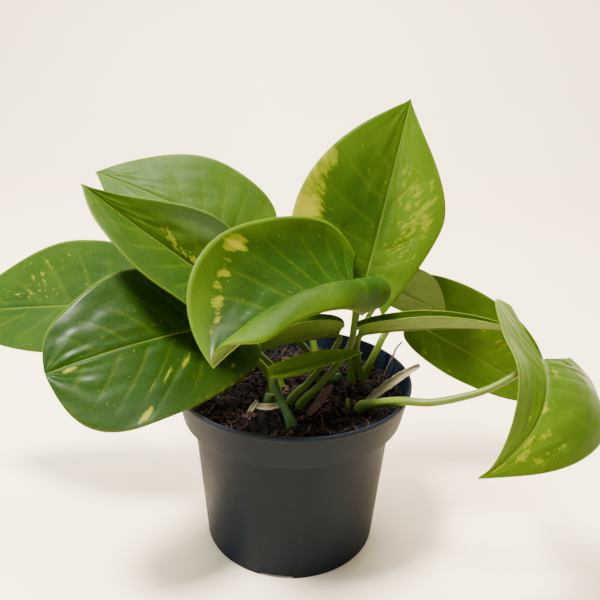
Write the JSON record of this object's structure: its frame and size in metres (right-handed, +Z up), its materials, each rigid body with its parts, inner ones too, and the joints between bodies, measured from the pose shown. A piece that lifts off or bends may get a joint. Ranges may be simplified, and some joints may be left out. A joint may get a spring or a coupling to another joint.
{
  "type": "potted pothos plant",
  "caption": "Leafy variegated pothos with heart-shaped glossy leaves on long stalks, standing in a round tapered nursery pot with a stacking rim, filled with soil.",
  "frame": {"origin": "centre of the underside of the pot, on the surface it stands on", "axes": "+Z up along the pot's axis, +X along the plant's widest spread, -Y towards the viewer of its best side"},
  "size_m": [0.364, 0.1426, 0.223],
  "materials": {
    "pot_plastic": "satin",
    "potting_soil": "matte",
    "leaf_green": "gloss",
    "leaf_dark_green": "gloss",
    "stalk_green": "satin",
    "dry_sheath_pale": "matte",
    "dry_sheath_brown": "matte",
    "root": "matte"
  },
  "bodies": {
    "root": {"leaf_back_left": "leaf_green", "leaf_centre": "leaf_green", "leaf_far_left": "leaf_green", "leaf_folded_low": "leaf_green", "leaf_front_left": "leaf_dark_green", "leaf_furled_right": "leaf_green", "leaf_hanging_right": "leaf_green", "leaf_lobe_back": "leaf_dark_green", "leaf_mid_left": "leaf_green", "leaf_right_back": "leaf_dark_green", "leaf_top": "leaf_green", "leaf_young": "leaf_green", "pot": "pot_plastic", "root_thread": "root", "sheath_brown": "dry_sheath_brown", "sheath_crescent": "dry_sheath_pale", "sheath_spike": "dry_sheath_pale", "sheath_tan": "dry_sheath_pale", "soil": "potting_soil", "stalk_back_left": "stalk_green", "stalk_centre": "stalk_green", "stalk_far_left": "stalk_green", "stalk_folded_low": "stalk_green", "stalk_front_left": "stalk_green", "stalk_furled_right": "stalk_green", "stalk_hanging_right": "stalk_green", "stalk_lobe_back": "stalk_green", "stalk_mid_left": "stalk_green", "stalk_right_back": "stalk_green", "stalk_top": "stalk_green", "stalk_young": "stalk_green", "stub_centre": "leaf_dark_green", "stub_left": "stalk_green", "stub_right": "dry_sheath_pale"}
  },
  "joints": []
}
